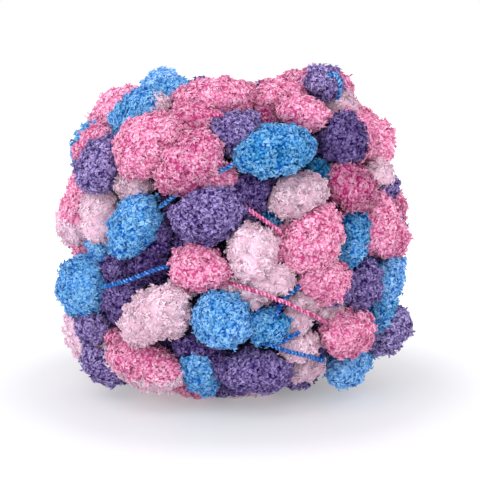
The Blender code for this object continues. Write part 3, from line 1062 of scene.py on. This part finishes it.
class YarnColours(bpy.types.PropertyGroup):
    """Colours of the dyed wool, with painted shade in the hollows between the tufts and painted light at
    their tips.
    """

    # The hollows' colours are painted shade deep in the pile, the tips' colours painted light where the
    # tips catch it
    pink_hollow_shade: colour_property("Pink hollow", "Deep in the pink pile", 186, 72, 124)
    pink_body: colour_property("Pink body", "Half way up the pink pile", 221, 138, 178)
    pink_tip: colour_property("Pink tip", "At the tips of the pink pile", 236, 179, 205)
    pale_pink_hollow_shade: colour_property("Pale pink hollow", "Deep in the pale pile", 224, 178, 201)
    pale_pink_body: colour_property("Pale pink body", "Half way up the pale pile", 222, 190, 207)
    pale_pink_tip: colour_property("Pale pink tip", "At the tips of the pale pile", 227, 203, 217)
    blue_hollow_shade: colour_property("Blue hollow", "Deep in the blue pile", 28, 84, 168)
    blue_body: colour_property("Blue body", "Half way up the blue pile", 90, 158, 216)
    blue_tip: colour_property("Blue tip", "At the tips of the blue pile", 138, 188, 228)
    purple_hollow_shade: colour_property("Purple hollow", "Deep in the purple pile", 38, 20, 84)
    purple_body: colour_property("Purple body", "Half way up the purple pile", 108, 90, 144)
    purple_tip: colour_property("Purple tip", "At the tips of the purple pile", 154, 136, 192)
    # This gain lightens and darkens both the tufts' own tones and the painted shade of deep wool
    variety_and_shade: number_property(
        "Variety", "How much lighter and darker the tufts are than each other", 1.3, 0.0, 2.0)


class StudioSettings(bpy.types.PropertyGroup):
    """The plain pale floor, the soft light and the camera."""

    floor_colour: colour_property("Floor", "The plain pale floor", 186, 186, 190)
    # The floor's glow is painted light, weakest near the ball, where it paints the shadow
    painted_floor_glow: number_property(
        "Floor glow", "Light that comes up through the floor, far from the ball", 0.63, 0.0, 2.0)
    sky_strength: number_property("Sky", "Brightness of the even light all round", 1.0, 0.0, 4.0)
    key_power: number_property("Key", "Soft light from the upper left", 4.7, 0.0, 200.0, "POWER")
    top_power: number_property("Top", "Wide light from above", 3.4, 0.0, 200.0, "POWER")
    fill_power: number_property("Fill", "Low light from the front", 7.2, 0.0, 200.0, "POWER")
    lens: number_property("Lens", "Focal length", 100.0, 10.0, 300.0, "CAMERA")
    distance: number_property(
        "Distance", "From the camera to the ball's middle", 0.568, 0.1, 5.0, "LENGTH")
    elevation: bpy.props.FloatProperty(
        name="Elevation", description="How far the camera looks down", default=np.radians(8.0), min=0.0,
        max=np.radians(90.0), subtype="ANGLE", unit="ROTATION")


def wool_of(colour):
    """The wool material of one colour of the yarn."""
    settings = bpy.context.scene.yarn_colours
    name = COLOURS[colour]
    shades = [getattr(settings, f"{name}_{part}") for part in ("hollow_shade", "body", "tip")]
    return wool(name + "_wool", *shades, settings)


class YARN_OT_pompoms(bpy.types.Operator):
    """Make the pompoms, as a front piece and a back piece of each colour"""

    bl_idname = "yarn.pompoms"
    bl_label = "Pompoms"

    def execute(self, context):
        ball = WoundBall()
        for colour, word in enumerate(COLOURS):
            material = wool_of(colour)
            for half, front in (("front", True), ("back", False)):
                shape = pile_piece(ball, colour, front, context.scene.yarn_sizes)
                piece = mesh_piece(f"pompoms_{word}_{half}", *shape, material)
                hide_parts(BALL_NODE)
        return {"FINISHED"}


class YARN_OT_heart(bpy.types.Operator):
    """Make the wound wool deep inside, which shows dark in the gaps between the pompoms"""

    bl_idname = "yarn.heart"
    bl_label = "Heart of the Ball"

    def execute(self, context):
        piece = mesh_piece("wound_heart", *heart_shape(), wool_of(COLOURS.index("purple")))
        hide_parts(BALL_NODE)
        return {"FINISHED"}


class YARN_OT_cords(bpy.types.Operator):
    """Make the stretches of twisted cord that show between the pompoms"""

    bl_idname = "yarn.cords"
    bl_label = "Cords"

    def execute(self, context):
        for word in sorted({row[0] for row in CORDS}):
            plies = []
            for _, lightness_and_shade, stops in [row for row in CORDS if row[0] == word]:
                plies += twisted_cord(lightness_and_shade, stops, context.scene.yarn_sizes)
            piece = mesh_piece(f"cords_{word}", *joined(plies), wool_of(COLOURS.index(word)))
        return {"FINISHED"}


def soft_light(name, place, power, size):
    """Put a square soft light at a place, aimed at the ball's middle."""
    light = bpy.data.lights.new(name, "AREA")
    light.energy = power
    light.size = size
    item = bpy.data.objects.new(name, light)
    item.location = place
    aim = Vector(FORM_MIDDLE * MILLIMETRE) - item.location
    item.rotation_euler = aim.to_track_quat("-Z", "Y").to_euler()
    bpy.context.scene.collection.objects.link(item)


def glow_outwards(tree, glow):
    """Paint light on the floor as a glow, weakest near the ball and full far from it, so that it paints the
    shadow round the ball and ends as white as the sky.
    """
    where = tree.nodes.new("ShaderNodeTexCoord")
    away = new_node(tree, "ShaderNodeVectorMath", {0: where.outputs["Object"]}, operation="LENGTH")
    ramp = new_node(tree, "ShaderNodeValToRGB", {"Fac": away.outputs["Value"]})
    stops = ramp.color_ramp.elements
    for place, _ in PAINTED_GLOW_STOPS[1:-1]:
        stops.new(place)
    stops[0].position, stops[-1].position = PAINTED_GLOW_STOPS[0][0], PAINTED_GLOW_STOPS[-1][0]
    for stop, (_, share) in zip(stops, PAINTED_GLOW_STOPS):
        stop.color = (share, share, share, 1.0)
    shader = tree.nodes["Principled BSDF"]
    tree.links.new(ramp.outputs["Color"], shader.inputs["Emission Color"])
    shader.inputs["Emission Strength"].default_value = glow


def pale_floor(colour, glow):
    """Make one flat square sheet under the ball, which glows with painted light that is weakest near the
    ball, as a painted shadow.
    """
    reach = FLOOR_REACH
    corners = [(-reach, -reach, 0.0), (reach, -reach, 0.0), (reach, reach, 0.0), (-reach, reach, 0.0)]
    mesh = bpy.data.meshes.new("pale_floor")
    mesh.from_pydata(corners, [], [(0, 1, 2, 3)])
    material = bpy.data.materials.new("pale_floor")
    material.use_nodes = True
    shader = material.node_tree.nodes["Principled BSDF"]
    shader.inputs["Base Color"].default_value = (*colour, 1.0)
    shader.inputs["Roughness"].default_value = FLOOR_ROUGHNESS
    glow_outwards(material.node_tree, glow)
    mesh.materials.append(material)
    floor = bpy.data.objects.new("pale_floor", mesh)
    bpy.context.scene.collection.objects.link(floor)


def set_camera(studio):
    """Put the camera where the photograph's was: in front of the ball and a little above it."""
    camera = bpy.data.cameras.new("camera")
    camera.lens = studio.lens
    camera.sensor_width = SENSOR_WIDTH
    camera.shift_x, camera.shift_y = VIEW_SHIFT
    item = bpy.data.objects.new("camera", camera)
    back = Vector((0.0, -np.cos(studio.elevation), np.sin(studio.elevation)))
    item.location = Vector(FORM_MIDDLE * MILLIMETRE) + back * studio.distance
    item.rotation_euler = (-back).to_track_quat("-Z", "Y").to_euler()
    bpy.context.scene.collection.objects.link(item)
    bpy.context.scene.camera = item


class YARN_OT_stage(bpy.types.Operator):
    """Make the pale floor, the soft studio light and the camera"""

    bl_idname = "yarn.stage"
    bl_label = "Stage"

    def execute(self, context):
        studio = context.scene.yarn_studio
        pale_floor(studio.floor_colour, studio.painted_floor_glow)
        for name, place, size in LIGHTS:
            soft_light(name, place, getattr(studio, name + "_power"), size)
        world = bpy.data.worlds.new("studio")
        world.use_nodes = True
        sky = world.node_tree.nodes["Background"]
        sky.inputs["Color"].default_value = (1.0, 1.0, 1.0, 1.0)
        sky.inputs["Strength"].default_value = studio.sky_strength
        context.scene.world = world
        context.scene.view_settings.view_transform = "Standard"
        set_camera(studio)
        return {"FINISHED"}


class YARN_PT_sidebar(bpy.types.Panel):
    """Lists what can be made and the settings that it is made from"""

    bl_label = "Pompom Yarn"
    bl_idname = "YARN_PT_sidebar"
    bl_space_type = "VIEW_3D"
    bl_region_type = "UI"
    bl_category = "Pompom Yarn"

    def draw(self, context):
        layout = self.layout
        for operator in OPERATORS:
            layout.operator(operator.bl_idname)
        for settings in (context.scene.yarn_sizes, context.scene.yarn_colours, context.scene.yarn_studio):
            box = layout.box()
            for name in type(settings).__annotations__:
                box.prop(settings, name)


OPERATORS = (
    YARN_OT_stage,
    YARN_OT_pompoms,
    YARN_OT_heart,
    YARN_OT_cords,
)
SETTINGS = {"yarn_sizes": YarnSizes, "yarn_colours": YarnColours, "yarn_studio": StudioSettings}


def register():
    """Register the settings, the operators and the panel."""
    for name, group in SETTINGS.items():
        bpy.utils.register_class(group)
        setattr(bpy.types.Scene, name, bpy.props.PointerProperty(type=group))
    for operator in OPERATORS:
        bpy.utils.register_class(operator)
    bpy.utils.register_class(YARN_PT_sidebar)


def unregister():
    """Take away what register added."""
    bpy.utils.unregister_class(YARN_PT_sidebar)
    for operator in reversed(OPERATORS):
        bpy.utils.unregister_class(operator)
    for name, group in reversed(SETTINGS.items()):
        delattr(bpy.types.Scene, name)
        bpy.utils.unregister_class(group)


def main():
    """Build the whole picture."""
    register()
    bpy.ops.yarn.stage()
    bpy.ops.yarn.pompoms()
    bpy.ops.yarn.heart()
    bpy.ops.yarn.cords()


if __name__ == "__main__":
    main()
